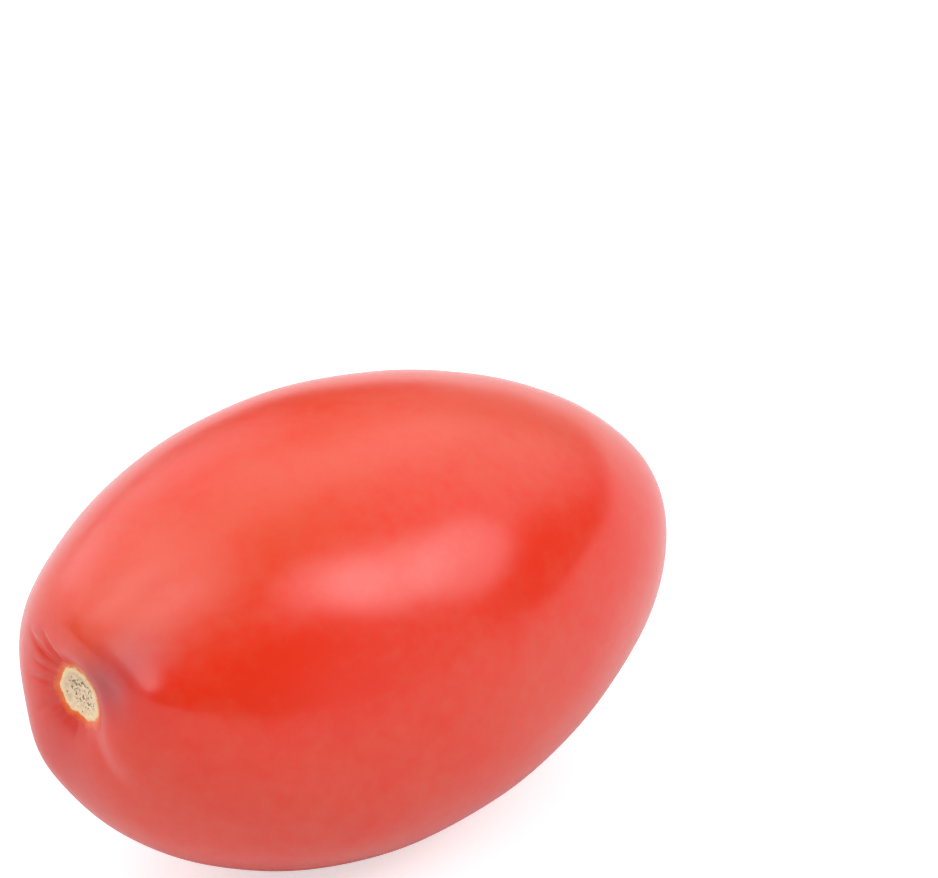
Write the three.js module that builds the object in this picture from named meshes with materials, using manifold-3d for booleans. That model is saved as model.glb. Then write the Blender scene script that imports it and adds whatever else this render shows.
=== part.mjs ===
// A plum tomato lying on its side, in millimetres, +Z up, stem end towards -X.
// One grown body: its skin is a sphere redrawn by a formula, with the stem scar, the sunken
// shoulders round it, their creases and the blossom tip as relief, and a small flat to rest on.
import * as THREE from "three";
import { mergeVertices } from "three/addons/utils/BufferGeometryUtils.js";
import Module from "manifold-3d";

// Driving dimensions of the body
const LENGTH = 80; // from the blossom tip to the stem end, before the stem end is sunk
const DIAMETER = 50;
const EGG = 0.096; // how much blunter the stem end is than the blossom end
const SLIMMING = 0.105; // how much slimmer both ends are than an ellipse's
const SHOULDER = 0.043; // how far the stem end is drawn in and the blossom end filled out
const TILT = 2; // degrees that the stem end is raised as the fruit lies

// Soft lobes round the body: their count, share of the radius and direction in degrees.
// A direction is measured round the axis, from +Y towards +Z.
const LOBES = [
  { count: 2, share: 0.004, direction: 100 },
  { count: 3, share: 0.004, direction: 60 },
];

// The side that it grew lying on is a little flattened, over a width in degrees
const FLATTER_SIDE = { share: 0.026, direction: 250, width: 30 };

// The stem scar, and the hollow that it lies in
const SCAR_ASIDE = [-0.5, 5.6]; // along Y and Z, off the long axis
const SCAR_DRAW = 7; // how close to the scar the skin is drawn aside with it
const SCAR_RADIUS = 2.8;
const SCAR_RIM = 0.18; // height of the corky ring round the scar
const BASIN = { depth: 3.6, radius: 7.4 };
const WELL = { depth: 1, radius: 4.1 };

// Swellings of the shoulder, with a negative height for a hollow
const SWELLINGS = [
  { direction: 143, distance: 7, height: -0.8, radius: 2.8 },
  { direction: 145, distance: 13.8, height: 0.8, radius: 3.2 },
  { direction: 88, distance: 10.5, height: 0.35, radius: 4.2 },
  { direction: 190, distance: 8.5, height: 0.3, radius: 2.6 },
  { direction: 305, distance: 11.5, height: 0.85, radius: 4.6 },
  { direction: 280, distance: 15, height: 0.7, radius: 6 },
  { direction: 243, distance: 15, height: 0.8, radius: 6 },
];

// Creases that run out from the scar, from and to a distance from its centre
const CREASES = [
  { direction: 34, from: 3.5, to: 10.5, depth: 0.42, width: 0.5 },
  { direction: 52, from: 3.7, to: 9, depth: 0.34, width: 0.45 },
  { direction: 16, from: 3.6, to: 7.5, depth: 0.24, width: 0.4 },
  { direction: -4, from: 4, to: 8.5, depth: 0.24, width: 0.45 },
  { direction: -36, from: 4, to: 8.5, depth: 0.18, width: 0.45 },
  { direction: 216, from: 4.4, to: 12, depth: 0.22, width: 1.5 },
];
const CREASE_FADE = 1; // distance over which a crease begins

// The blossom end: a small nub in a shallow ring
const TIP_NUB = { height: 0.4, radius: 1.6 };
const TIP_RING = { depth: 0.35, radius: 4 };

// The flat that the fruit rests on
const FLAT_DEPTH = 0.45;
const SLAB = 120; // side of the block that is cut away below the flat

// Facets of the skin
const SECTORS = 80;
const RINGS = 48;
const RING_CROWDING = 1.35; // above 1 the rings lie closer at the stem end

const radians = THREE.MathUtils.degToRad;
const bell = (distance, radius) => Math.exp(-((distance / radius) ** 2));
const fade = THREE.MathUtils.smoothstep;

// Distance of the skin from the long axis, at an angle down from the stem end and one round it.
function girth(down, round) {
  const sine = Math.sin(down);
  const cosine = Math.cos(down);
  const profile =
    1 + EGG * cosine - SLIMMING * cosine ** 2 - SHOULDER * cosine ** 3;
  const lobes = LOBES.reduce(
    (sum, { count, share, direction }) =>
      sum + share * Math.cos(count * (round - radians(direction))),
    0,
  );
  const turn = round - radians(FLATTER_SIDE.direction);
  const aside = Math.atan2(Math.sin(turn), Math.cos(turn)); // the same turn, the shorter way round
  const flatter = FLATTER_SIDE.share * bell(aside, radians(FLATTER_SIDE.width));
  return (DIAMETER / 2) * sine * profile * (1 + sine * (lobes - flatter));
}

// How far a crease sinks the skin at a distance from the scar's centre and an angle round it.
function creaseDepth({ direction, from, to, depth, width }, radius, round) {
  const turn = round - radians(direction);
  const across = radius * Math.sin(turn);
  const along = radius * Math.cos(turn);
  const starts = fade(along, from - CREASE_FADE, from + CREASE_FADE);
  const ends = 1 - fade(along, from + CREASE_FADE, to);
  return depth * bell(across, width) * starts * ends;
}

// How far the stem end is sunk.
function stemRelief(radius, round) {
  const y = radius * Math.cos(round);
  const z = radius * Math.sin(round);
  let sunk = BASIN.depth * bell(radius, BASIN.radius);
  sunk += WELL.depth * Math.exp(-((radius / WELL.radius) ** 4));
  sunk -= SCAR_RIM * bell(radius - SCAR_RADIUS, SCAR_RADIUS / 4);
  for (const { direction, distance, height, radius: reach } of SWELLINGS) {
    const aside = Math.hypot(
      y - distance * Math.cos(radians(direction)),
      z - distance * Math.sin(radians(direction)),
    );
    sunk -= height * bell(aside, reach);
  }
  for (const crease of CREASES) sunk += creaseDepth(crease, radius, round);
  return sunk;
}

// How far the blossom end stands out.
function tipRelief(radius) {
  return (
    TIP_NUB.height * bell(radius, TIP_NUB.radius) -
    TIP_RING.depth * bell(radius, TIP_RING.radius)
  );
}

// A point of the skin, with the long axis level.
function skinPoint(down, round) {
  const cosine = Math.cos(down);
  const radius = girth(down, round);
  const relief = cosine > 0 ? stemRelief(radius, round) : tipRelief(radius);
  const drawn = ((1 + cosine) / 2) ** SCAR_DRAW; // how far the stem end is drawn to the scar
  return new THREE.Vector3(
    (-LENGTH / 2) * cosine + relief,
    radius * Math.cos(round) + SCAR_ASIDE[0] * drawn,
    radius * Math.sin(round) + SCAR_ASIDE[1] * drawn,
  );
}

// The whole skin as one closed surface, tilted as the fruit lies.
function skinGeometry() {
  const geometry = new THREE.SphereGeometry(1, SECTORS, RINGS);
  const { position, uv } = geometry.attributes;
  const point = new THREE.Vector3();
  for (let i = 0; i < position.count; i++) {
    const down = Math.PI * (1 - uv.getY(i)) ** RING_CROWDING;
    const round = -2 * Math.PI * uv.getX(i);
    point.copy(skinPoint(down, round));
    position.setXYZ(i, point.x, point.y, point.z);
  }
  geometry.deleteAttribute("normal");
  geometry.deleteAttribute("uv");
  geometry.rotateY(radians(TILT));
  return mergeVertices(geometry);
}

const wasm = await Module();
wasm.setup();

// A closed geometry as a solid that can be joined and cut.
function toSolid(geometry) {
  return new wasm.Manifold(
    new wasm.Mesh({
      numProp: 3,
      vertProperties: geometry.attributes.position.array,
      triVerts: new Uint32Array(geometry.index.array),
    }),
  );
}

// A solid as a geometry with its faces' normals.
function toGeometry(solid) {
  const { vertProperties, triVerts } = solid.getMesh();
  const geometry = new THREE.BufferGeometry();
  geometry.setAttribute(
    "position",
    new THREE.BufferAttribute(vertProperties, 3),
  );
  geometry.setIndex(new THREE.BufferAttribute(triVerts, 1));
  geometry.computeVertexNormals();
  return geometry;
}

// The fruit with its flat cut, set down with the middle of its box over the origin.
function tomatoGeometry() {
  const skin = skinGeometry();
  skin.computeBoundingBox();
  const slab = new THREE.BoxGeometry(SLAB, SLAB, SLAB);
  slab.deleteAttribute("normal");
  slab.deleteAttribute("uv");
  slab.translate(0, 0, skin.boundingBox.min.z + FLAT_DEPTH - SLAB / 2);
  const cut = toSolid(skin).subtract(toSolid(mergeVertices(slab)));
  const geometry = toGeometry(cut);
  geometry.computeBoundingBox();
  const { min, max } = geometry.boundingBox;
  geometry.translate(-(min.x + max.x) / 2, -(min.y + max.y) / 2, -min.z);
  return geometry;
}

const skinMaterial = new THREE.MeshStandardMaterial({
  color: 0xd92b1c,
  roughness: 0.3,
  metalness: 0,
});

const tomato = new THREE.Mesh(tomatoGeometry(), skinMaterial);
tomato.name = "tomato";

const part = new THREE.Group();
part.add(tomato);

export default part;
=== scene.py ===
"""A plum tomato lying on its side on a pale floor, dressed over its solid model.

Sizes are in metres. The fruit's long axis runs along X, with the stem end towards -X. A place on the
skin is given by two angles: down, from the stem end, and around, about the long axis from +Y to +Z.
"""

import math

import bpy
import numpy as np
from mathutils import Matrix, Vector


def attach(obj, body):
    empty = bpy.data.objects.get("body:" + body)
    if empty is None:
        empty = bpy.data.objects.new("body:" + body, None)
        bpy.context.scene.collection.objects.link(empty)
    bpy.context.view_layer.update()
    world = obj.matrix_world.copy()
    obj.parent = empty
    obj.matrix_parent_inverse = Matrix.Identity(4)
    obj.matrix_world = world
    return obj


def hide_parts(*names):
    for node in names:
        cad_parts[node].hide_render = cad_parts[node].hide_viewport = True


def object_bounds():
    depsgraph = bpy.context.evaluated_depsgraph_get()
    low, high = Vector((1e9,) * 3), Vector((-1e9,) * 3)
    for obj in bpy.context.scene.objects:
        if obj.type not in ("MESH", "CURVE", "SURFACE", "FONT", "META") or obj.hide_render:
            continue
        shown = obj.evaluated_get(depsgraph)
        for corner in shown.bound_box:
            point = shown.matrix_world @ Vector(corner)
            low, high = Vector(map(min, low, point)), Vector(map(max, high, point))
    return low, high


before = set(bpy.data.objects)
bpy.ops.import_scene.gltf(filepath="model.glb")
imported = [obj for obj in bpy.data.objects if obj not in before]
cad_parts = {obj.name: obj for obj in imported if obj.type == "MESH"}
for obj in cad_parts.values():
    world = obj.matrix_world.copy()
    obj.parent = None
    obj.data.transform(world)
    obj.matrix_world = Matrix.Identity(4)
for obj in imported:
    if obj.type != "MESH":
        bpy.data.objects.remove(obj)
cad_low, cad_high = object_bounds()

bl_info = {
    "name": "Plum Tomato",
    "version": (1, 0, 0),
    "blender": (4, 5, 0),
    "location": "View3D > Sidebar > Tomato",
    "description": "Grows a plum tomato with a corky stem scar and sets it on a lit floor",
    "category": "Add Mesh",
}

MM = 0.001

# Soft lobes round the body: count, share of the radius, direction in degrees
LOBES = ((2, 0.004, 100), (3, 0.004, 60))

# The underside is a little flattened: share of the radius, direction and half-width in degrees
FLATTER_SIDE = (0.026, 250, 30)

# The hollow round the stem scar: depth, radius and how flat its bottom is
HOLLOWS = ((3.6 * MM, 7.4 * MM, 2), (1.0 * MM, 4.1 * MM, 4))

# Where the scar lies off the long axis, along Y and Z, and how closely the skin is drawn to it
SCAR_ASIDE = (-0.5 * MM, 5.6 * MM)
SCAR_DRAW = 7

# The scar's uneven edge: waves round it, each with its share of the radius, count and phase
SCAR_EDGE = (
    (0.110, 2, math.radians(-16)),
    (0.045, 3, math.radians(-225)),
    (0.025, 7, 1.0),
    (0.015, 13, 2.0),
)

# Rings of the scar's relief: how deep the skin is sunk, at which share of the scar's radius, and
# half-width: a raised edge, a groove round it and a dip inside it
SCAR_RINGS = (
    (-0.20 * MM, 0.90, 0.15),
    (0.14 * MM, 1.08, 0.08),
    (0.10 * MM, 0.45, 0.14),
)

# Swellings of the shoulder: direction in degrees, distance from the scar, height, radius
SWELLINGS = (
    (143, 7.0 * MM, -0.8 * MM, 2.8 * MM),
    (145, 13.8 * MM, 0.80 * MM, 3.2 * MM),
    (88, 10.5 * MM, 0.35 * MM, 4.2 * MM),
    (190, 8.5 * MM, 0.30 * MM, 2.6 * MM),
    (305, 11.5 * MM, 0.85 * MM, 4.6 * MM),
    (280, 15.0 * MM, 0.70 * MM, 6.0 * MM),
    (243, 15.0 * MM, 0.80 * MM, 6.0 * MM),
)

# A short shallow fold across the shoulder: directions it runs between in degrees, its distance
# from the scar at the first and how much that grows per degree, its depth and half-width
FOLD = (90, 112, 14.2 * MM, 0.13 * MM, 0.14 * MM, 0.8 * MM)

# How many degrees outside and inside its two ends the fold fades
FOLD_FADE = (5, 3)

# Creases out from the scar: direction in degrees, start, end, depth and half-width. Each deepens
# within CREASE_FADE of its start and from there grows fainter to its end.
CREASES = (
    (34, 3.5 * MM, 10.5 * MM, 0.42 * MM, 0.50 * MM),
    (52, 3.7 * MM, 9.0 * MM, 0.34 * MM, 0.45 * MM),
    (16, 3.6 * MM, 7.5 * MM, 0.24 * MM, 0.40 * MM),
    (-4, 4.0 * MM, 8.5 * MM, 0.24 * MM, 0.45 * MM),
    (-36, 4.0 * MM, 8.5 * MM, 0.18 * MM, 0.45 * MM),
    (216, 4.4 * MM, 12.0 * MM, 0.22 * MM, 1.50 * MM),
)
CREASE_FADE = 1.0 * MM

# Fine puckers of the skin round the scar, deepest on one side of it, and unevenly spread
PUCKERS = 40
PUCKER_SPREAD = 0.4
PUCKER_START = 3.3 * MM
PUCKER_ENDS = (4.8 * MM, 7.5 * MM)
PUCKER_DEPTHS = (0.03 * MM, 0.10 * MM)
PUCKER_WIDTHS = (0.14 * MM, 0.28 * MM)
PUCKER_SIDE = 20
PUCKER_LEAST = 0.2

# Relief of the dry cork: crumbling waves, their lengths and height, and the shares of the scar's
# radius between which they end
CORK_WAVES = 60
CORK_LENGTHS = (0.45 * MM, 1.6 * MM)
CORK_HEIGHT = 0.06 * MM
CORK_END = (0.85, 1.05)

# Facets of the skin; above 1 the crowding draws the rings to the stem end
SECTORS = 360
RINGS = 270
RING_CROWDING = 1.5

# How softly the skin bends to the floor where the fruit rests
PRESS_SOFTNESS = 0.15 * MM

# The blossom end: a small nub in a shallow ring, each with its height or depth and its radius
TIP_NUB = (0.4 * MM, 1.6 * MM)
TIP_RING = (0.35 * MM, 4.0 * MM)

# Faint furrows that run out from the blossom end: their count and uneven spread, their depth and
# half-width, the shares of that depth they have, and where they start and end
TIP_FURROWS = 5
TIP_FURROW_SPREAD = 0.2
TIP_FURROW = (0.13 * MM, 0.7 * MM)
TIP_FURROW_SHARES = (0.6, 1.2)
TIP_FURROW_RUN = (0.9 * MM, 7.5 * MM)

# The slow unevenness of a grown skin: waves over the body, their length and height
WAVES = 14
WAVE_LENGTHS = (7.0 * MM, 24.0 * MM)
WAVE_HEIGHT = 0.065 * MM

SEED = 7

# What the mesh stores for the blossom half instead of a share of the scar's radius, and for the
# stem half instead of a distance from the tip in millimetres
FAR_FROM_SCAR = 9
FAR_FROM_TIP = 99

# How much less ripe the skin is: at rest, then by sides with their direction and half-width in
# degrees and how much they add. The sides are partly ripeness and partly painted light and shade: a
# paler coral top and a deeper red front side.
LESS_RIPE = 0.42
RIPENESS_AND_SHADING_SIDES = ((100, 24, 0.50), (145, 22, -0.42))

# Patterns of ripeness, in broad patches, clouds and fine mottling: size, detail, roughness and
# weight. Between the two sums the skin turns from ripe to coral red. The mottling, which comes
# last, makes the wax uneven too.
RIPENESS_PATTERNS = (
    (17.0 * MM, 3, 0.50, 1.1),
    (5.0 * MM, 3, 0.50, 0.8),
    (1.6 * MM, 4, 0.65, 0.9),
)
CORAL_SUMS = (1.4, 2.4)

# How rough the wax is at two strengths of the mottling, those strengths, and how rough cork is
SKIN_ROUGHNESS = (0.19, 0.24)
WAX_MOTTLING = (0.3, 0.7)
CORK_ROUGHNESS = 0.85

# Sizes of the patterns in the cork, and of the frosting of the floor
GRAIN_SIZE = 0.5 * MM
TAN_SIZE = 0.9 * MM
SPECK_SIZE = 0.3 * MM
FROSTING_SIZE = 4.0 * MM

# How ragged the grain makes the edges of the scar's rings and of the tip's point
RAGGEDNESS = 0.24
TIP_RAGGEDNESS = 0.8

# The strengths of its pattern between which the cork turns tan. How much the specks follow their
# crowding, and the strengths between which they come in
TAN_STRENGTHS = (0.46, 0.64)
SPECK_CROWDED = 0.14
SPECK_STRENGTHS = (0.65, 0.72)

# The shares of the scar's radius between which the finish turns from wax to cork
CORK_SHARES = (1.20, 1.10)

# Painted shade: the skin darkened towards mauve in the hollow beside the scar and, fainter, on
# its other sides: direction, distance, radius and strength
PAINTED_SHADE_PATCHES = (
    (138, 6.4 * MM, 3.5 * MM, 0.70),
    (290, 5.5 * MM, 6.5 * MM, 0.30),
    (35, 8.0 * MM, 3.5 * MM, 0.15),
    (128, 12.0 * MM, 3.0 * MM, 0.35),
)

# Painted shadows: dark brown marks in the crevice at the scar's edge: direction, distance and radius
EDGE_SHADOW_SPOTS = (
    (104, 3.1 * MM, 0.42 * MM),
    (143, 3.9 * MM, 0.42 * MM),
    (124, 3.4 * MM, 0.28 * MM),
)

# The camera: its picture in pixels, its sensor's width in millimetres, the scale at the fruit, the
# place of the fruit's middle in the picture and in the studio, and how near and far it sees
IMAGE_WIDTH = 938
IMAGE_HEIGHT = 878
SENSOR = 36.0
PIXELS_PER_METRE = 9513
FRUIT_PIXEL = (353.6, 611.8)
FRUIT_MIDDLE = Vector((-1.2 * MM, 0.0, 24.6 * MM))
NEAREST_SEEN = 0.01
FARTHEST_SEEN = 50

# The light tent: how bright its floor and its walls glow by themselves, and its soft panels,
# each with its azimuth, elevation, inner and outer radius in degrees, and its radiance
FLOOR_GLOW = 0.54
ROOM_GLOW = 0.09
LIGHT_COLOUR = (1.0, 1.0, 1.05)
PANELS = (
    ("key left", 16, 56, 6, 19, 2.55),
    ("key", 30, 44, 7, 20, 3.1),
    ("key right", 50, 31, 7, 18, 2.75),
    ("right wall", 92, 42, 14, 36, 1.0),
    ("far ceiling", 160, 60, 8, 26, 0.8),
    ("left ceiling", -112, 66, 6, 28, 1.75),
    ("left ceiling side", -68, 64, 6, 18, 1.0),
    ("left wall high", -76, 36, 9, 20, 2.6),
    ("left wall", -84, 8, 8, 24, 0.6),
    ("left shoulder", -114, 34, 5, 24, 0.75),
    ("far left high", -152, 44, 6, 28, 1.35),
    ("far left", -162, 10, 7, 28, 1.0),
    ("far wall", 172, 22, 7, 27, 1.15),
    ("far right wall", 134, 44, 10, 28, 0.45),
    ("far right low", 124, 12, 6, 20, 0.25),
    ("right low", 96, 8, 5, 18, 0.35),
    ("front low", 16, 2, 8, 40, 0.6),
)

# How closely brown specks crowd the cork, from the scar's middle to its edge
SPECK_CROWDING = (
    (0.00, (0.45,) * 3),
    (0.30, (0.50,) * 3),
    (0.46, (1.00,) * 3),
    (0.62, (1.00,) * 3),
    (0.78, (0.20,) * 3),
    (1.00, (0.25,) * 3),
)

# Short names for kinds of shader node
COORDINATES = "ShaderNodeTexCoord"
STORED = "ShaderNodeAttribute"
RAYS = "ShaderNodeLightPath"
NOISE = "ShaderNodeTexNoise"
RANGE = "ShaderNodeMapRange"
MATH = "ShaderNodeMath"
MIX = "ShaderNodeMix"
PRINCIPLED = "ShaderNodeBsdfPrincipled"


def linear(code):
    """Turn an sRGB hex colour into linear red, green and blue."""
    parts = [int(code[i : i + 2], 16) / 255 for i in (0, 2, 4)]
    return tuple(
        v / 12.92 if v <= 0.04045 else ((v + 0.055) / 1.055) ** 2.4 for v in parts
    )


def add_node(tree, kind, settings=None, links=None, output=0):
    """Add a node to a tree, with its settings and the sockets that feed it; return its output."""
    made = tree.nodes.new(kind)
    for name, value in (settings or {}).items():
        if name == "stops":
            ramp = made.color_ramp.elements
            while len(ramp) < len(value):
                ramp.new(0.5)
            for stop, (place, colour) in zip(ramp, value):
                stop.position = place
                stop.color = (*colour, 1)
        elif isinstance(name, int) or name in made.inputs:
            made.inputs[name].default_value = value
        else:
            setattr(made, name, value)
    for name, source in (links or {}).items():
        tree.links.new(source, made.inputs[name])
    return made.outputs[output] if made.outputs else None


def bell(distance, radius, flatness=2):
    """A smooth bump that is 1 at the middle."""
    return np.exp(-((distance / radius) ** flatness))


def fade(value, start, end):
    """0 before start, 1 after end, smooth between."""
    share = np.clip((value - start) / (end - start), 0, 1)
    return share * share * (3 - 2 * share)


class FruitSettings(bpy.types.PropertyGroup):
    """Sizes and colours of the fruit."""

    length: bpy.props.FloatProperty(
        name="Length",
        description="From the blossom tip to the stem end, before the stem end is sunk",
        default=80 * MM,
        unit="LENGTH",
    )
    diameter: bpy.props.FloatProperty(
        name="Diameter",
        description="Thickness of the fruit at its middle",
        default=50 * MM,
        unit="LENGTH",
    )
    egg: bpy.props.FloatProperty(
        name="Egg",
        description="How much blunter the stem end is than the blossom end",
        default=0.096,
        subtype="FACTOR",
    )
    slimming: bpy.props.FloatProperty(
        name="Slimming",
        description="How much slimmer both ends are than an ellipse's",
        default=0.105,
        subtype="FACTOR",
    )
    shoulder: bpy.props.FloatProperty(
        name="Shoulder",
        description="How far the stem end is drawn in and the blossom end filled out",
        default=0.043,
        subtype="FACTOR",
    )
    tilt: bpy.props.FloatProperty(
        name="Tilt",
        description="How far the stem end is raised as the fruit lies",
        default=math.radians(2),
        subtype="ANGLE",
    )
    flat_depth: bpy.props.FloatProperty(
        name="Flat depth",
        description="How far the underside gives where the fruit rests",
        default=0.45 * MM,
        unit="LENGTH",
    )
    scar_radius: bpy.props.FloatProperty(
        name="Scar radius",
        description="Mean radius of the corky stem scar",
        default=2.8 * MM,
        unit="LENGTH",
    )
    ripe_red: bpy.props.FloatVectorProperty(
        name="Ripe red",
        description="Colour of the ripest skin",
        default=linear("E43114"),
        subtype="COLOR",
    )
    coral_red: bpy.props.FloatVectorProperty(
        name="Coral red",
        description="Colour of the skin where it is a little less ripe",
        default=linear("E04F34"),
        subtype="COLOR",
    )
    # Painted shade: the mauve that the skin is darkened to in the hollow beside the scar
    painted_shade_mauve: bpy.props.FloatVectorProperty(
        name="Dull mauve",
        description="Colour of the dull skin in the hollow beside the scar",
        default=linear("A44249"),
        subtype="COLOR",
    )
    scar_cream: bpy.props.FloatVectorProperty(
        name="Scar cream",
        description="Colour of the dry cork of the scar",
        default=linear("EED6B3"),
        subtype="COLOR",
    )
    scar_tan: bpy.props.FloatVectorProperty(
        name="Scar tan",
        description="Colour of the darker patches of the cork",
        default=linear("DDC3A3"),
        subtype="COLOR",
    )
    scar_brown: bpy.props.FloatVectorProperty(
        name="Scar brown",
        description="Colour of the pits and the broken ring in the scar",
        default=linear("7C7150"),
        subtype="COLOR",
    )
    scar_rim: bpy.props.FloatVectorProperty(
        name="Scar rim",
        description="Colour of the pale peach rim of the scar",
        default=linear("EFD8A8"),
        subtype="COLOR",
    )
    # Painted shadow: the dark brown put in the crevice at the scar's edge; the same brown marks the
    # blossom tip's point
    crevice_shadow_and_tip_brown: bpy.props.FloatVectorProperty(
        name="Spot brown",
        description="Colour of the dark spots at the scar's edge",
        default=linear("6B3520"),
        subtype="COLOR",
    )
    halo: bpy.props.FloatVectorProperty(
        name="Halo",
        description="Colour of the thin ring of orange skin round the scar",
        default=linear("EE7430"),
        subtype="COLOR",
    )


class StageSettings(bpy.types.PropertyGroup):
    """Camera, light and floor."""

    azimuth: bpy.props.FloatProperty(
        name="Azimuth",
        description="Where the camera stands round the fruit, from the side of -Y",
        default=math.radians(-39.8),
        subtype="ANGLE",
    )
    elevation: bpy.props.FloatProperty(
        name="Elevation",
        description="How far the camera looks down",
        default=math.radians(34),
        subtype="ANGLE",
    )
    distance: bpy.props.FloatProperty(
        name="Distance",
        description="From the camera to the fruit",
        default=0.6,
        unit="LENGTH",
    )
    floor_size: bpy.props.FloatProperty(
        name="Floor size",
        description="Side of the square floor",
        default=12,
        unit="LENGTH",
    )
    floor_white: bpy.props.FloatVectorProperty(
        name="Floor white",
        description="Colour of the floor",
        default=linear("E7E7E7"),
        subtype="COLOR",
    )


def turn_from(around, direction):
    """The turn from a direction in degrees to an angle, from -180 to 180 degrees."""
    return (np.degrees(around) - direction + 180) % 360 - 180


def girth(settings, down, around):
    """Distance of the skin from the long axis."""
    sine, cosine = np.sin(down), np.cos(down)
    profile = (
        1
        + settings.egg * cosine
        - settings.slimming * cosine**2
        - settings.shoulder * cosine**3
    )
    lobes = sum(
        share * np.cos(count * (around - math.radians(direction)))
        for count, share, direction in LOBES
    )
    share, direction, width = FLATTER_SIDE
    lobes = lobes - share * bell(turn_from(around, direction), width)
    return settings.diameter / 2 * sine * profile * (1 + sine * lobes)


def crease_depth(radius, around, direction, start, end, depth, width):
    """How far one crease sinks the skin."""
    turn = around - math.radians(direction)
    across, along = radius * np.sin(turn), radius * np.cos(turn)
    starts = fade(along, start - CREASE_FADE, start + CREASE_FADE)
    ends = 1 - fade(along, start + CREASE_FADE, end)
    return depth * bell(across, width) * starts * ends


def scar_outline(settings, around):
    """The scar's slightly uneven edge: its radius in each direction."""
    uneven = sum(
        share * np.cos(count * around + phase) for share, count, phase in SCAR_EDGE
    )
    return settings.scar_radius * (1 + uneven)


def stem_relief(settings, radius, around):
    """How far the skin of the stem end is sunk."""
    y, z = radius * np.cos(around), radius * np.sin(around)
    sunk = np.zeros_like(radius)
    for depth, reach, flatness in HOLLOWS:
        sunk += depth * bell(radius, reach, flatness)
    for direction, distance, height, reach in SWELLINGS:
        sunk -= height * patch(radius, around, direction, distance, reach)
    for crease in CREASES:
        sunk += crease_depth(radius, around, *crease)
    turn = np.degrees(around)
    start, end, first, growth, depth, width = FOLD
    outside, inside = FOLD_FADE
    starts = fade(turn, start - outside, start + inside)
    ends = 1 - fade(turn, end - inside, end + outside)
    middle = first + growth * (turn - start)
    sunk += depth * starts * ends * bell(radius - middle, width)
    draw = np.random.default_rng(SEED)
    for i in range(PUCKERS):
        direction = 360 * (i + draw.uniform(-PUCKER_SPREAD, PUCKER_SPREAD)) / PUCKERS
        end = draw.uniform(*PUCKER_ENDS)
        depth, width = draw.uniform(*PUCKER_DEPTHS), draw.uniform(*PUCKER_WIDTHS)
        turned = (1 + math.cos(math.radians(direction - PUCKER_SIDE))) / 2
        depth *= PUCKER_LEAST + (1 - PUCKER_LEAST) * turned**3
        sunk += crease_depth(radius, around, direction, PUCKER_START, end, depth, width)
    share = radius / scar_outline(settings, around)
    for depth, place, width in SCAR_RINGS:
        sunk += depth * bell(share - place, width)
    crumbs = waves(np.column_stack((y, z)), CORK_WAVES, CORK_LENGTHS, SEED + 2)
    sunk -= CORK_HEIGHT * crumbs * (1 - fade(share, *CORK_END))
    return sunk


def patch(radius, around, direction, distance, reach):
    """How near the skin is to the middle of a round patch of the stem end, from 0 to 1."""
    angle = math.radians(direction)
    y = radius * np.cos(around) - distance * math.cos(angle)
    z = radius * np.sin(around) - distance * math.sin(angle)
    return bell(np.hypot(y, z), reach)


def less_ripe(around):
    """How much less ripe the skin is in each direction round the fruit, with painted light and shade
    by side.
    """
    share = np.full_like(around, LESS_RIPE)
    # Painted light and shade: the top turned towards coral, the front side towards a deeper red
    for direction, width, more in RIPENESS_AND_SHADING_SIDES:
        share += more * bell(turn_from(around, direction), width)
    return share


def tip_relief(radius, around):
    """How far the skin of the blossom end stands out."""
    nub = TIP_NUB[0] * bell(radius, TIP_NUB[1])
    ring = TIP_RING[0] * bell(radius, TIP_RING[1])
    depth, width = TIP_FURROW
    start, end = TIP_FURROW_RUN
    draw = np.random.default_rng(SEED + 3)
    sunk = np.zeros_like(radius)
    for i in range(TIP_FURROWS):
        spread = draw.uniform(-TIP_FURROW_SPREAD, TIP_FURROW_SPREAD)
        turned = 360 * (i + spread) / TIP_FURROWS
        deep = depth * draw.uniform(*TIP_FURROW_SHARES)
        sunk += crease_depth(radius, around, turned, start, end, deep, width)
    return nub - ring - sunk


def waves(points, number, lengths, seed):
    """Waves that cross each other in all directions, as a height of about 1."""
    draw = np.random.default_rng(seed)
    height = np.zeros(len(points))
    for _ in range(number):
        heading = draw.normal(size=points.shape[1])
        heading /= np.linalg.norm(heading)
        length = draw.uniform(*lengths)
        phase = draw.uniform(0, 2 * math.pi)
        height += np.sin(points @ heading * (2 * math.pi / length) + phase)
    return height / math.sqrt(number)


def write_attribute(mesh, name, values):
    """Store one number for each vertex."""
    made = mesh.attributes.new(name, "FLOAT", "POINT")
    made.data.foreach_set("value", values.astype(np.float32))


def lay_down(skin, settings):
    """Tilt the skin's points, set them over the solid's box and press them to the floor."""
    turn_cos, turn_sin = math.cos(settings.tilt), math.sin(settings.tilt)
    laid = skin.copy()
    laid[:, 0] = skin[:, 0] * turn_cos + skin[:, 2] * turn_sin
    laid[:, 2] = skin[:, 2] * turn_cos - skin[:, 0] * turn_sin
    low, high = laid.min(axis=0), laid.max(axis=0)
    middle = (cad_low + cad_high) / 2
    laid[:, 0] += middle.x - (low[0] + high[0]) / 2
    laid[:, 1] += middle.y - (low[1] + high[1]) / 2
    laid[:, 2] += cad_low.z - low[2] - settings.flat_depth
    above = laid[:, 2] - cad_low.z
    laid[:, 2] = cad_low.z + (above + np.sqrt(above**2 + PRESS_SOFTNESS**2)) / 2
    return laid


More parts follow.
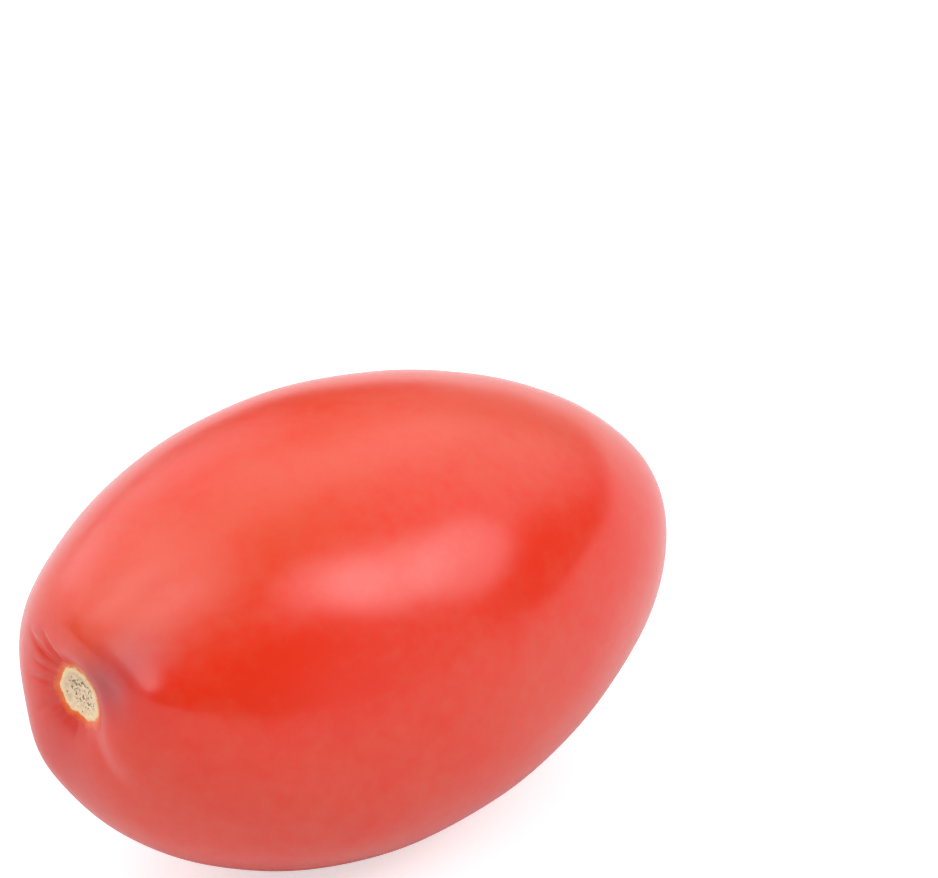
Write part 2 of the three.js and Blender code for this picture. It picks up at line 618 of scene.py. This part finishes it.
def mark_skin(mesh, settings, radius, around, stem_end):
    """Store on the mesh where the scar, the painted shadows at its edge, the painted shade, the
    riper skin with its painted light and shade by side, and the tip are.
    """
    share = radius / scar_outline(settings, around)
    # Painted shadows in the crevice at the scar's edge
    spots = sum(patch(radius, around, *crevice_shadow) for crevice_shadow in EDGE_SHADOW_SPOTS)
    # Painted shade: the skin darkened towards mauve in the hollow and round the scar
    dull = sum(
        strength * patch(radius, around, *place) for *place, strength in PAINTED_SHADE_PATCHES
    )
    write_attribute(mesh, "scar_share", np.where(stem_end, share, FAR_FROM_SCAR))
    write_attribute(mesh, "dull", stem_end * dull)
    write_attribute(mesh, "spots", stem_end * spots)
    write_attribute(mesh, "less_ripe", less_ripe(around))
    from_tip = np.where(stem_end, FAR_FROM_TIP, radius / MM)
    write_attribute(mesh, "tip_distance", from_tip)


def redraw_skin(mesh, settings):
    """Move each vertex of a laid, stretched sphere to its place on the fruit's skin."""
    flat = np.empty(len(mesh.vertices) * 3)
    mesh.vertices.foreach_get("co", flat)
    start = flat.reshape(-1, 3)
    down = np.arccos(np.clip(-start[:, 0] / (settings.length / 2), -1, 1))
    around = np.arctan2(start[:, 2], start[:, 1])
    down = math.pi * (down / math.pi) ** RING_CROWDING
    cosine = np.cos(down)
    stem_end = cosine > 0
    radius = girth(settings, down, around)
    sunk = stem_relief(settings, radius, around)
    relief = np.where(stem_end, sunk, tip_relief(radius, around))
    drawn = ((1 + cosine) / 2) ** SCAR_DRAW
    x = -settings.length / 2 * cosine + relief
    y = radius * np.cos(around) + SCAR_ASIDE[0] * drawn
    z = radius * np.sin(around) + SCAR_ASIDE[1] * drawn
    skin = np.column_stack((x, y, z))
    uneven = WAVE_HEIGHT * waves(skin, WAVES, WAVE_LENGTHS, SEED + 1)
    skin *= 1 + (uneven / np.linalg.norm(skin, axis=1))[:, None]
    mesh.vertices.foreach_set("co", lay_down(skin, settings).ravel())
    mark_skin(mesh, settings, radius, around, stem_end)
    mesh.update()


def lay_over(tree, below, follows, start, end, most, over):
    """Lay a colour over another one, more and more as a value goes from start to end."""
    amount = add_node(
        tree,
        RANGE,
        {"From Min": start, "From Max": end, "To Max": most},
        {"Value": follows},
    )
    settings, links = {"data_type": "RGBA"}, {0: amount, 6: below}
    if isinstance(over, bpy.types.NodeSocket):
        links[7] = over
    else:
        settings[7] = (*over, 1)
    return add_node(tree, MIX, settings, links, output=2)


def ripe_skin(tree, settings, place):
    """Red skin with patches and clouds that are a little less ripe, sides that are partly less ripe
    and partly painted light and shade, fine mottling, and painted shade towards mauve round the
    scar.

    It gives the colour, and the mottling, which makes the wax uneven too.
    """
    # Ripeness from the mesh, with its painted light and shade by side
    unripe_and_painted_shading = add_node(tree, STORED, {"attribute_name": "less_ripe"}, output="Fac")
    for size, detail, coarse, weight in RIPENESS_PATTERNS:
        mottling = add_node(
            tree,
            NOISE,
            {"Scale": 1 / size, "Detail": detail, "Roughness": coarse},
            {"Vector": place},
        )
        unripe_and_painted_shading = add_node(
            tree,
            MATH,
            {"operation": "MULTIPLY_ADD", 1: weight},
            {0: mottling, 2: unripe_and_painted_shading},
        )
    coral = add_node(
        tree,
        RANGE,
        {"From Min": CORAL_SUMS[0], "From Max": CORAL_SUMS[1]},
        {"Value": unripe_and_painted_shading},
    )
    red = add_node(
        tree,
        MIX,
        {
            "data_type": "RGBA",
            6: (*settings.ripe_red, 1),
            7: (*settings.coral_red, 1),
        },
        {0: coral},
        output=2,
    )
    # Painted shade from the mesh, laid over the red towards mauve
    dull = add_node(tree, STORED, {"attribute_name": "dull"}, output="Fac")
    colour = add_node(
        tree,
        MIX,
        {"data_type": "RGBA", 7: (*settings.painted_shade_mauve, 1)},
        {0: dull, 6: red},
        output=2,
    )
    return colour, mottling


def dry_cork(tree, settings, place, ragged):
    """Cream cork with tan patches, and brown specks that crowd into a broken ring."""
    clouds = add_node(
        tree, NOISE, {"Scale": 1 / TAN_SIZE, "Detail": 3}, {"Vector": place}
    )
    tanned = add_node(
        tree,
        RANGE,
        {"From Min": TAN_STRENGTHS[0], "From Max": TAN_STRENGTHS[1]},
        {"Value": clouds},
    )
    cork = add_node(
        tree,
        MIX,
        {
            "data_type": "RGBA",
            6: (*settings.scar_cream, 1),
            7: (*settings.scar_tan, 1),
        },
        {0: tanned},
        output=2,
    )
    crowding = add_node(
        tree, "ShaderNodeValToRGB", {"stops": SPECK_CROWDING}, {0: ragged}
    )
    fine = add_node(tree, NOISE, {"Scale": 1 / SPECK_SIZE}, {"Vector": place})
    specks = add_node(
        tree,
        MATH,
        {"operation": "MULTIPLY_ADD", 1: SPECK_CROWDED},
        {0: crowding, 2: fine},
    )
    return lay_over(tree, cork, specks, *SPECK_STRENGTHS, 1.0, settings.scar_brown)


def wax_or_cork(tree, grain, ragged, mottling):
    """The finish, as a roughness and a normal: smooth wax on the skin, rough and dry on the cork."""
    on_cork = add_node(
        tree,
        RANGE,
        {"From Min": CORK_SHARES[0], "From Max": CORK_SHARES[1]},
        {"Value": ragged},
    )
    waxy = add_node(
        tree,
        RANGE,
        {
            "From Min": WAX_MOTTLING[0],
            "From Max": WAX_MOTTLING[1],
            "To Min": SKIN_ROUGHNESS[0],
            "To Max": SKIN_ROUGHNESS[1],
        },
        {"Value": mottling},
    )
    roughness = add_node(tree, MIX, {3: CORK_ROUGHNESS}, {0: on_cork, 2: waxy})
    cork_normal = add_node(
        tree,
        "ShaderNodeBump",
        {"Strength": 0.6, "Distance": 0.1 * MM},
        {"Height": grain},
    )
    smooth_normal = add_node(tree, "ShaderNodeNewGeometry", output="Normal")
    normal = add_node(
        tree,
        MIX,
        {"data_type": "VECTOR"},
        {0: on_cork, 4: smooth_normal, 5: cork_normal},
        output=1,
    )
    return roughness, normal


def waxy_tomato_skin(settings):
    """Ripe tomato skin: a thin waxy cuticle over red flesh, with a dry corky scar at the stem.

    The wax gives clear but soft-edged highlights, the flesh lets a little red light through, and the
    cork is matt, pale and pitted with brown.
    """
    material = bpy.data.materials.new("waxy tomato skin")
    material.use_nodes = True
    tree = material.node_tree
    tree.nodes.clear()
    place = add_node(tree, COORDINATES, output="Object")
    share = add_node(tree, STORED, {"attribute_name": "scar_share"}, output="Fac")
    # Painted shadows in the crevice at the scar's edge, as stored on the mesh
    spots = add_node(tree, STORED, {"attribute_name": "spots"}, output="Fac")
    tip = add_node(tree, STORED, {"attribute_name": "tip_distance"}, output="Fac")
    grain = add_node(
        tree,
        NOISE,
        {"Scale": 1 / GRAIN_SIZE, "Detail": 4, "Roughness": 0.6},
        {"Vector": place},
    )
    ragged = add_node(
        tree, MATH, {"operation": "MULTIPLY_ADD", 1: RAGGEDNESS}, {0: grain, 2: share}
    )
    frayed = add_node(
        tree, MATH, {"operation": "MULTIPLY_ADD", 1: TIP_RAGGEDNESS}, {0: grain, 2: tip}
    )
    skin, mottling = ripe_skin(tree, settings, place)
    colour = dry_cork(tree, settings, place, ragged)

    # Each layer over the cork: what it follows, the values between which it comes in, how much it
    # covers at most, and its colour
    layers = (
        (ragged, 0.90, 1.04, 1.0, settings.scar_rim),
        (ragged, 1.12, 1.20, 1.0, settings.halo),
        (ragged, 1.22, 1.44, 1.0, skin),
        # Painted shadow in the crevice at the scar's edge
        (spots, 0.35, 0.75, 0.8, settings.crevice_shadow_and_tip_brown),
        (frayed, 1.50, 1.00, 0.6, settings.halo),
        (frayed, 0.95, 0.75, 0.9, settings.crevice_shadow_and_tip_brown),
    )
    for layer in layers:
        colour = lay_over(tree, colour, *layer)
    roughness, normal = wax_or_cork(tree, grain, ragged, mottling)
    shader = add_node(
        tree,
        PRINCIPLED,
        {
            "IOR": 1.5,
            "Subsurface Weight": 0.15,
            "Subsurface Radius": (1.0, 0.25, 0.12),
            "Subsurface Scale": 2.5 * MM,
        },
        {"Base Color": colour, "Roughness": roughness, "Normal": normal},
    )
    add_node(tree, "ShaderNodeOutputMaterial", None, {"Surface": shader})
    return material


def backlit_white_acrylic(stage):
    """Frosted white acrylic lit from below: an even white glow that swallows most of the shadow."""
    material = bpy.data.materials.new("backlit white acrylic")
    material.use_nodes = True
    tree = material.node_tree
    tree.nodes.clear()
    place = add_node(tree, COORDINATES, output="Object")
    frosting = add_node(tree, NOISE, {"Scale": 1 / FROSTING_SIZE}, {"Vector": place})
    roughness = add_node(
        tree, RANGE, {"To Min": 0.8, "To Max": 0.9}, {"Value": frosting}
    )
    seen = add_node(tree, RAYS, output="Is Camera Ray")
    glow = add_node(tree, RANGE, {"To Max": FLOOR_GLOW}, {"Value": seen})
    shader = add_node(
        tree,
        PRINCIPLED,
        {
            "Base Color": (*stage.floor_white, 1),
            "Specular IOR Level": 0.1,
            "Emission Color": (1, 1, 1, 1),
        },
        {"Roughness": roughness, "Emission Strength": glow},
    )
    add_node(tree, "ShaderNodeOutputMaterial", None, {"Surface": shader})
    return material


class TOMATO_OT_fruit(bpy.types.Operator):
    """Grow the fruit: lay and stretch a sphere, redraw it as the skin and give it its wax"""

    bl_idname = "tomato.fruit"
    bl_label = "Fruit"

    def execute(self, context):
        settings = context.scene.tomato_fruit
        bpy.ops.object.select_all(action="DESELECT")
        bpy.ops.mesh.primitive_uv_sphere_add(
            segments=SECTORS, ring_count=RINGS, radius=settings.diameter / 2
        )
        fruit = context.object
        fruit.name = "tomato_fruit"
        bpy.ops.object.mode_set(mode="EDIT")
        bpy.ops.mesh.select_all(action="SELECT")
        bpy.ops.transform.rotate(
            value=math.pi / 2, orient_axis="Y", center_override=(0, 0, 0)
        )
        bpy.ops.transform.resize(value=(settings.length / settings.diameter, 1, 1))
        bpy.ops.object.mode_set(mode="OBJECT")
        redraw_skin(fruit.data, settings)
        bpy.ops.object.mode_set(mode="EDIT")
        bpy.ops.mesh.select_all(action="SELECT")
        bpy.ops.mesh.normals_make_consistent(inside=False)
        bpy.ops.object.mode_set(mode="OBJECT")
        bpy.ops.object.shade_smooth()
        fruit.data.materials.append(waxy_tomato_skin(settings))
        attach(fruit, "root")
        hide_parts("tomato")
        return {"FINISHED"}


class TOMATO_OT_stage(bpy.types.Operator):
    """Set the stage: a pale floor, a camera and plain soft studio light"""

    bl_idname = "tomato.stage"
    bl_label = "Stage"

    def execute(self, context):
        stage = context.scene.tomato_stage
        bpy.ops.object.select_all(action="DESELECT")
        bpy.ops.mesh.primitive_plane_add(size=stage.floor_size, location=(0, 0, cad_low.z))
        floor = context.object
        floor.name = "floor"
        floor.data.materials.append(backlit_white_acrylic(stage))
        set_camera(context.scene, stage)
        set_light(context.scene)
        context.scene.view_settings.view_transform = "Standard"
        context.scene.view_settings.look = "None"
        return {"FINISHED"}


def towards(azimuth, elevation):
    """The unit vector towards a place in the studio: round from -Y, then up from the floor."""
    return Vector(
        (
            math.sin(azimuth) * math.cos(elevation),
            -math.cos(azimuth) * math.cos(elevation),
            math.sin(elevation),
        )
    )


def set_camera(scene, stage):
    """Stand the camera where the photograph was taken from."""
    data = bpy.data.cameras.new("camera")
    camera = bpy.data.objects.new("camera", data)
    scene.collection.objects.link(camera)
    focal_pixels = PIXELS_PER_METRE * stage.distance
    data.sensor_width = SENSOR
    data.lens = focal_pixels * SENSOR / IMAGE_WIDTH
    data.clip_start = NEAREST_SEEN
    data.clip_end = FARTHEST_SEEN
    back = towards(stage.azimuth, stage.elevation)
    right = Vector((math.cos(stage.azimuth), math.sin(stage.azimuth), 0))
    up = back.cross(right)
    aside = (IMAGE_WIDTH / 2 - FRUIT_PIXEL[0]) / PIXELS_PER_METRE
    above = (FRUIT_PIXEL[1] - IMAGE_HEIGHT / 2) / PIXELS_PER_METRE
    target = FRUIT_MIDDLE + right * aside + up * above
    camera.location = target + back * stage.distance
    camera.rotation_mode = "QUATERNION"
    camera.rotation_quaternion = (-back).to_track_quat("-Z", "Y")
    scene.camera = camera


def set_light(scene):
    """A white light tent, with soft panels of different brightness round the fruit."""
    world = bpy.data.worlds.new("light tent")
    world.use_nodes = True
    tree = world.node_tree
    tree.nodes.clear()
    looking = add_node(tree, COORDINATES, output="Generated")
    # The even glow of the room, and then the light of each panel on top of it
    total = add_node(tree, MATH, {"operation": "ADD", 0: ROOM_GLOW, 1: 0})
    for _, azimuth, elevation, inner, outer, radiance in PANELS:
        middle = towards(math.radians(azimuth), math.radians(elevation))
        facing = add_node(
            tree,
            "ShaderNodeVectorMath",
            {"operation": "DOT_PRODUCT", 1: middle},
            {0: looking},
            output="Value",
        )
        panel = add_node(
            tree,
            RANGE,
            {
                "interpolation_type": "SMOOTHSTEP",
                "From Min": math.cos(math.radians(outer)),
                "From Max": math.cos(math.radians(inner)),
                "To Max": radiance,
            },
            {"Value": facing},
        )
        total = add_node(tree, MATH, {"operation": "ADD"}, {0: panel, 1: total})
    lit = add_node(
        tree, "ShaderNodeBackground", {"Color": (*LIGHT_COLOUR, 1)}, {"Strength": total}
    )
    seen = add_node(
        tree, "ShaderNodeBackground", {"Color": (1, 1, 1, 1), "Strength": 1.0}
    )
    ray = add_node(tree, RAYS, output="Is Camera Ray")
    mixed = add_node(tree, "ShaderNodeMixShader", None, {0: ray, 1: lit, 2: seen})
    add_node(tree, "ShaderNodeOutputWorld", None, {"Surface": mixed})
    scene.world = world


class TOMATO_PT_sidebar(bpy.types.Panel):
    """The buttons that build the fruit and its stage"""

    bl_label = "Plum Tomato"
    bl_space_type = "VIEW_3D"
    bl_region_type = "UI"
    bl_category = "Tomato"

    def draw(self, context):
        for group in (context.scene.tomato_fruit, context.scene.tomato_stage):
            box = self.layout.box()
            for name in group.__annotations__:
                box.prop(group, name)
        self.layout.operator(TOMATO_OT_fruit.bl_idname)
        self.layout.operator(TOMATO_OT_stage.bl_idname)


CLASSES = (
    FruitSettings,
    StageSettings,
    TOMATO_OT_fruit,
    TOMATO_OT_stage,
    TOMATO_PT_sidebar,
)


def register():
    for each in CLASSES:
        bpy.utils.register_class(each)
    bpy.types.Scene.tomato_fruit = bpy.props.PointerProperty(type=FruitSettings)
    bpy.types.Scene.tomato_stage = bpy.props.PointerProperty(type=StageSettings)


def unregister():
    del bpy.types.Scene.tomato_stage
    del bpy.types.Scene.tomato_fruit
    for each in reversed(CLASSES):
        bpy.utils.unregister_class(each)


def main():
    register()
    bpy.ops.tomato.fruit()
    bpy.ops.tomato.stage()


if __name__ == "__main__":
    main()
